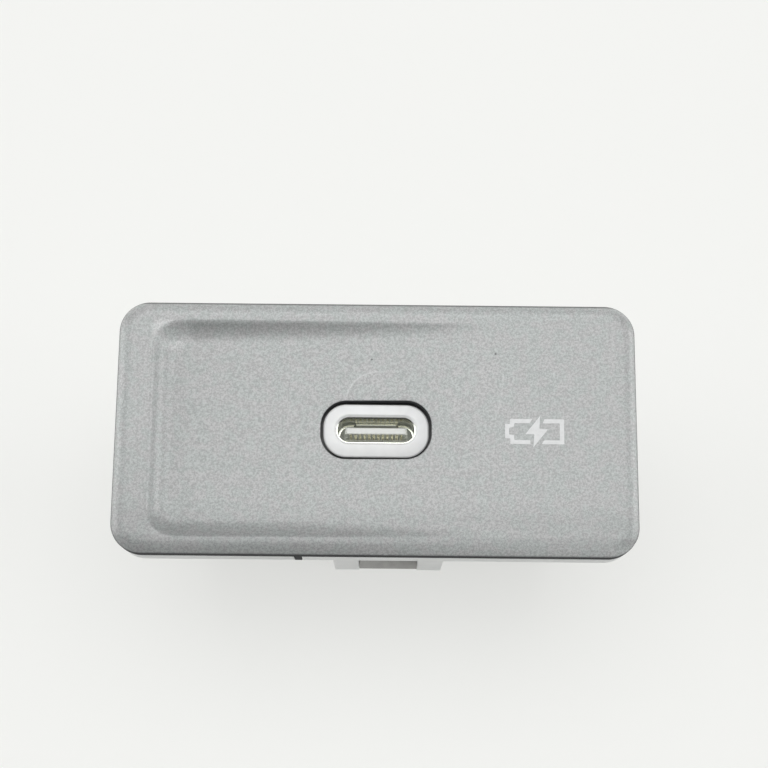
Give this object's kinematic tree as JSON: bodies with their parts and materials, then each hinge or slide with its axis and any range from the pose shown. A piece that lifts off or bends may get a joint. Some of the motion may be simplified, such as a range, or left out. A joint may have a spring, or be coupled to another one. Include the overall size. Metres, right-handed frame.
{
  "type": "usb charging socket",
  "caption": "Snap-in charging socket for a vehicle console: grey fascia with a finger dish, milky ring round the receptacle, flanged housing with spring clips, and a rear wiring socket.",
  "frame": {"origin": "middle of the outline, at the rear rim of the wiring socket, which the part stands on", "axes": "+Z out of the face, +X along the face towards the printed sign, +Y across the face, away from the wiring socket's lock ramp"},
  "size_m": [0.0564, 0.0276, 0.0434],
  "materials": {
    "fascia_paint": "fine-grained matt grey paint",
    "milky_guide": "milky, satin",
    "housing_grey": "moulded, fine spark grain",
    "cover_black": "moulded, fine spark grain",
    "spring_steel": "dark tempered strip",
    "shell_steel": "drawn, bright",
    "tongue_insulator": "moulded, smooth",
    "contact_gold": "gold-plated",
    "board_laminate": "green solder mask over woven laminate",
    "component_black": "moulded resin",
    "pin_tin": "tin-plated",
    "ferrite": "pressed powder",
    "can_aluminium": "drawn can",
    "fired_ceramic": "fired, with tinned ends",
    "light_source_white": "clear resin over a pale body",
    "sign_print": "printed ink"
  },
  "bodies": {
    "root": {"fascia": "fascia_paint", "light_guide": "milky_guide", "housing": "housing_grey", "rear_cover": "cover_black", "retaining_clip_upper": "spring_steel", "retaining_clip_lower": "spring_steel", "main_board": "board_laminate", "usb_shell": "shell_steel", "usb_tongue": "tongue_insulator", "usb_contacts_upper": "contact_gold", "usb_contacts_lower": "contact_gold", "usb_mid_plate": "shell_steel", "usb_ground_pads": "shell_steel", "pin_header_block": "component_black", "terminal_pin_1": "pin_tin", "terminal_pin_2": "pin_tin", "terminal_pin_3": "pin_tin", "terminal_pin_4": "pin_tin", "power_inductor": "ferrite", "input_capacitor": "can_aluminium", "output_capacitor": "can_aluminium", "converter_chip": "component_black", "charge_controller_chip": "component_black", "surge_diode": "component_black", "input_fuse": "fired_ceramic", "ceramic_capacitors": "fired_ceramic", "light_source_left": "light_source_white", "light_source_right": "light_source_white"}
  },
  "joints": []
}
